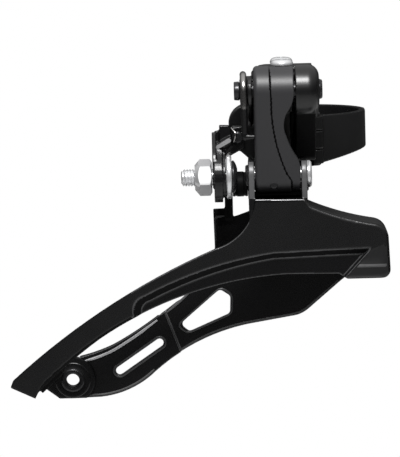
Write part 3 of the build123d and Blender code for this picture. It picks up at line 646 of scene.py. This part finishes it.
rows = [(low.x + 0.5, 2.56), (low.x, 3.0), (low.x, NUT_R * 0.74)]
rows += [nut_row(low.x, 1, level, 0.76, 0.85) for level in (0, 0.2, 0.4, 0.6, 0.8, 0.96, 1.0)]
rows += [nut_row(high.x, -1, level) for level in (1.0, 0.96, 0.7, 0.35, 0)]
rows += [(high.x, NUT_R * 0.91), (high.x, 3.1), (high.x - 0.5, 2.56)]
nut = publish(rings("X", anchor, rows, 120), "cable_nut_skin", "cable_nut", smooth=24)
# The nut's front flats carry a painted highlight, and its top and underside facets carry painted shade.
paint(nut, ZINC_HIGHLIGHT, lambda c, n: n.y < -0.85 and abs(n.x) < 0.1)
paint(nut, ZINC_PAINTED_SHADE, lambda c, n: n.z < -0.3 or n.z > 0.75 and n.x > -0.5)

# Beads along the inner plate's top edge, and rolled rims along its other edges, its window and its slot, in
# bright materials as painted highlights. The plate's face is stepped: it lies at one Y behind the step and at
# another in front of it.
REAR_Y, FORE_Y = -35.15, -33.95
top_behind = [(-64.6, -62.3), (-60.8, -61.3), (-56.2, -59.5), (-49.5, -55.4), (-43.2, -50.9)]
top_before = [(-40.3, -48.8), (-36.6, -45.9), (-32.6, -42.2)]
rear_edge = [(-66.5, -73.05), (-59.5, -72.8)] + arc((-59.5, -72.8), (-51.0, -70.5), (-43.9, -65.7))[1:]
fore_edge = arc((-38.6, -62.0), (-31.0, -57.4), (-17.0, -52.9)) + [(-4.4, -50.9), (-1.9, -50.3), (0.2, -49.1),
                                                                   (9.4, -41.4)]
WINDOW_MIDDLE, WINDOW_GROWTH = Vector((-28.0, -48.9)), 1.1
window = [WINDOW_MIDDLE + (Vector(p) - WINDOW_MIDDLE) * WINDOW_GROWTH
          for p in ((-25.0, -42.6), (-22.0, -44.6), (-22.2, -49.6), (-34.0, -54.6), (-36.6, -52.4))]
SLOT_MIDDLE, SLOT_REACH, SLOT_RIM_R, SLOT_TILT = Vector((-48.5, -61.4)), 7.0, 1.75, math.radians(33.9)
slot_arm = Vector((math.cos(SLOT_TILT), math.sin(SLOT_TILT))) * SLOT_REACH
slot = hull(SLOT_MIDDLE - slot_arm, SLOT_RIM_R, SLOT_MIDDLE + slot_arm, SLOT_RIM_R)
for name, outline, y, size, look in (
    ("plate_lip_highlight_bead", bend(top_behind, 6, 2.4), REAR_Y - 0.1, 0.42, BRIGHT_HIGHLIGHT),
    ("plate_edge_highlight_bead", bend(top_before, 6, 2.0), FORE_Y - 0.1, 0.36, EDGE_HIGHLIGHT),
    ("rear_edge_highlight_rim", inset(rear_edge, 0.75), REAR_Y, 0.3, EDGE_HIGHLIGHT),
    ("fore_edge_highlight_rim", inset(fore_edge, 0.7), FORE_Y, 0.26, RIM_HIGHLIGHT),
    ("window_highlight_rim", bend([(-30.5, -46.8)] + window + [(-30.3, -46.6)], 6, 1.6), FORE_Y, 0.28, RIM_HIGHLIGHT),
    ("slot_highlight_rim", slot + [slot[0]], REAR_Y, 0.28, RIM_HIGHLIGHT),
    ("top_highlight_rim", bend([(-25.8, -28.5), (-25.8, -21.7), (-21.6, -21.2)], 6, 0.8), FORE_Y, 0.32, RIM_HIGHLIGHT),
):
    wire(name, "inner_cage_plate", [(p[0], y, p[1]) for p in outline], size, look, replace=False)

# Return spring: one round coil with a fixed leg behind it and a leg down to the outer link.
WIRE_R, COIL_R = 0.95, 4.35
COIL_X = box_mm("return_spring")[0].x + WIRE_R
low, high = box_mm("outer_upper_pin")
pivot = (low + high) / 2


def around(start, end, count, drift):
    """Points round the coil from one angle to another, in degrees from +Y towards +Z, drifting along X."""
    points = []
    for i in range(count + 1):
        turn = math.radians(start + (end - start) * i / count)
        points.append((COIL_X + drift * i / count, pivot.y + COIL_R * math.cos(turn),
                       pivot.z + COIL_R * math.sin(turn)))
    return points


coil_path = [(COIL_X, -36.0, pivot.z + COIL_R - 0.1), (COIL_X, -40.0, pivot.z + COIL_R)]
coil_path += around(90, 90 + 450, 150, 0.02)
coil_path += [(COIL_X + 0.05, pivot.y - COIL_R + 0.09 * i, 12.0 - 0.7 * i) for i in range(14)]
last = Vector(coil_path[-1])
coil_path += bend([last, (last.x, -47.2, 2.4), (-13.2, -47.2, 2.4)], 8, 1.2)[1:]
spring = wire("return_spring_skin", "return_spring", coil_path, WIRE_R, SPRING, ride=False)
# The wire below the coil is painted satin black as shade.
paint(spring, SATIN, lambda c, n: c.z < 10.5)
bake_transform(spring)


# Cable arm: the round-ended plate square to X, its bent shoulder, and the folded strip on the inner link.
def build_arm(bm):
    """Adds the arm's overlapping plates."""
    left = box_mm("cable_arm")[0].x
    prism(bm, "X", (left, left + 1.15), hull((-43.0, -6.0), 6.4, (-40.4, -0.3), 3.7))
    prism(bm, "X", (left + 0.4, left + 2.8), hull((anchor.y, anchor.z), 7.2, (-42.6, -5.6), 4.6))
    prism(bm, "X", (left + 2.4, left + 3.7), hull((anchor.y, anchor.z), 5.9, (-43.0, -7.0), 5.4))
    prism(bm, "Y", (-39.0, -36.95), [(-26.1, -3.0), (-26.1, 2.6), (-25.2, 3.5), (-16.9, 4.9), (-16.9, -1.6),
                                     (-18.3, -2.2), (-22.4, -4.4)])
    prism(bm, "Y", (-43.3, -38.5), [(-25.3, 0.1), (-20.8, 2.3), (-20.5, 0.9), (-24.3, -1.5)])
    prism(bm, "Y", (-42.2, -38.5), [(-24.5, -1.3), (-20.6, 0.8), (-20.4, -0.5), (-23.4, -4.2)])
    prism(bm, "Y", (-39.9, -37.0), [(-24.0, 5.2), (-21.3, 5.1), (-20.7, 3.9), (-20.7, 1.0), (-24.1, 1.0)])


moulded("cable_arm_skin", "cable_arm", build_arm, 0.18, 4, 0.4)

# A painted highlight along the fold across the arm's shoulder, and the wire hook above it.
fold = bmesh.new()
prism(fold, "Y", (-43.75, -43.2), hull((-24.6, -0.6), 0.5, (-21.4, 1.2), 0.62))
bmesh.ops.recalc_face_normals(fold, faces=fold.faces)
publish(fold, "arm_fold_highlight", "cable_arm", BRIGHT_HIGHLIGHT, replace=False)
hook = bend([(-20.6, -41.2, 4.6), (-19.3, -42.4, 3.0), (-20.0, -42.0, 0.6)], 6, 0.8)
wire("arm_hook", "cable_arm", hook, 0.45, SPRING, replace=False)


# Pan-head limit screws with a cross recess: half the length and half the width of its arms, and its depth.
CROSS_LONG, CROSS_WIDE, CROSS_FLOOR = 1.8, 0.375, 1.6


def cut_cross(screw, centre, top):
    """Cuts a cross recess down from the top of a screw's head."""
    bm = bmesh.new()
    for half_x, half_y in ((CROSS_LONG, CROSS_WIDE), (CROSS_WIDE, CROSS_LONG)):
        prism(bm, "Z", (top - CROSS_FLOOR, top + 0.5),
              [(centre.x - half_x, centre.y - half_y), (centre.x + half_x, centre.y - half_y),
               (centre.x + half_x, centre.y + half_y), (centre.x - half_x, centre.y + half_y)])
    bmesh.ops.recalc_face_normals(bm, faces=bm.faces)
    mesh = bpy.data.meshes.new("cutter")
    bm.to_mesh(mesh)
    bm.free()
    cutter = bpy.data.objects.new("cutter", mesh)
    scene.collection.objects.link(cutter)
    cut = screw.modifiers.new("recess", "BOOLEAN")
    cut.operation = "DIFFERENCE"
    cut.solver = "EXACT"
    cut.use_self = True
    cut.object = cutter
    shown = bpy.data.meshes.new_from_object(screw.evaluated_get(bpy.context.evaluated_depsgraph_get()))
    screw.modifiers.clear()
    screw.data = shown
    bpy.data.objects.remove(cutter)


for node in ("limit_screw_low", "limit_screw_high"):
    low, high = box_mm(node)
    centre = (low + high) / 2
    centre.z = 0
    profile = [(low.z, 1.6), (low.z + 0.4, 1.95), (high.z - 2.38, 1.95), (high.z - 2.35, 3.2),
               (high.z - 1.7, 3.3), (high.z - 0.95, 2.9), (high.z - 0.6, 2.0), (high.z - 0.5, 0.8)]
    screw = turned(node + "_skin", node, "Z", centre, profile, 0.3)
    cut_cross(screw, centre, high.z)

# ---------------------------------------------------------------- camera and light
# A long lens on the drive side, a little above.
AIM = Vector((-30.21, -40.0, -24.14)) * MM
ELEVATION = math.radians(6.7)
ROLL = math.radians(1.5)
DISTANCE = 1.2
PER_METRE, ROWS = 3500, 457     # picture rows to a metre at the aimed point, and the picture's rows
camera = bpy.data.objects.new("camera", bpy.data.cameras.new("camera"))
scene.collection.objects.link(camera)
scene.camera = camera
camera.data.sensor_fit = "AUTO"
camera.data.sensor_width = 36
camera.data.lens = camera.data.sensor_width * DISTANCE * PER_METRE / ROWS
camera.data.clip_start, camera.data.clip_end = 0.05, 20
back = Vector((0, -math.cos(ELEVATION), math.sin(ELEVATION)))
camera.location = AIM + back * DISTANCE
turn = (-back).to_track_quat("-Z", "Y").to_matrix()
camera.rotation_euler = (turn @ Matrix.Rotation(-ROLL, 3, "Z")).to_euler()

# Pale floor disc well below the part, and a studio that is white behind and graded in its light.
bpy.ops.mesh.primitive_circle_add(vertices=96, radius=1.1, fill_type="NGON", location=(0, 0, cad_low.z - 0.3))
floor = bpy.context.object
floor.name = "floor"
floor.data.materials.append(material("pale_floor", (0.86, 0.86, 0.86), 0.85, grain=0.05, grain_scale=60,
                                     vary=0.01))

world = bpy.data.worlds.new("world")
scene.world = world
world.use_nodes = True
wn, wl = world.node_tree.nodes, world.node_tree.links
glow = wn["Background"]
place = wn.new("ShaderNodeTexCoord")
split = wn.new("ShaderNodeSeparateXYZ")
wl.new(place.outputs["Generated"], split.inputs["Vector"])
grade = wn.new("ShaderNodeValToRGB")
HORIZON, ZENITH, NADIR = 0.05, 0.8, 0.08
stops = grade.color_ramp.elements
stops[0].position, stops[0].color = 0.0, (NADIR, NADIR, NADIR, 1)
stops[1].position, stops[1].color = 1.0, (ZENITH, ZENITH, ZENITH, 1)
for position, level in ((0.25, 0.1), (0.40, HORIZON), (0.58, HORIZON), (0.8, 0.5)):
    stop = stops.new(position)
    stop.color = (level, level, level, 1)
shift = wn.new("ShaderNodeMapRange")
shift.inputs["From Min"].default_value = -1
shift.inputs["From Max"].default_value = 1
wl.new(split.outputs["Z"], shift.inputs["Value"])
wl.new(shift.outputs["Result"], grade.inputs["Fac"])
seen = wn.new("ShaderNodeLightPath")
pick = wn.new("ShaderNodeMix")
pick.data_type = "RGBA"
wl.new(seen.outputs["Is Camera Ray"], pick.inputs["Factor"])
wl.new(grade.outputs["Color"], pick.inputs["A"])
pick.inputs["B"].default_value = (1, 1, 1, 1)
wl.new(pick.outputs["Result"], glow.inputs["Color"])
glow.inputs["Strength"].default_value = 1.0


def area(name, place, target, width, height, power):
    """A soft light panel aimed at a point; sizes in metres."""
    light = bpy.data.lights.new(name, "AREA")
    light.energy = power
    light.shape = "RECTANGLE"
    light.size = width
    light.size_y = height
    lamp = bpy.data.objects.new(name, light)
    scene.collection.objects.link(lamp)
    lamp.location = place
    lamp.visible_camera = False
    lamp.rotation_euler = (Vector(target) - Vector(place)).to_track_quat("-Z", "Y").to_euler()


area("key", (-0.02, -0.26, 0.26), (-0.008, -0.045, 0.01), width=0.16, height=0.1, power=1.6)
scene.view_settings.view_transform = "Standard"
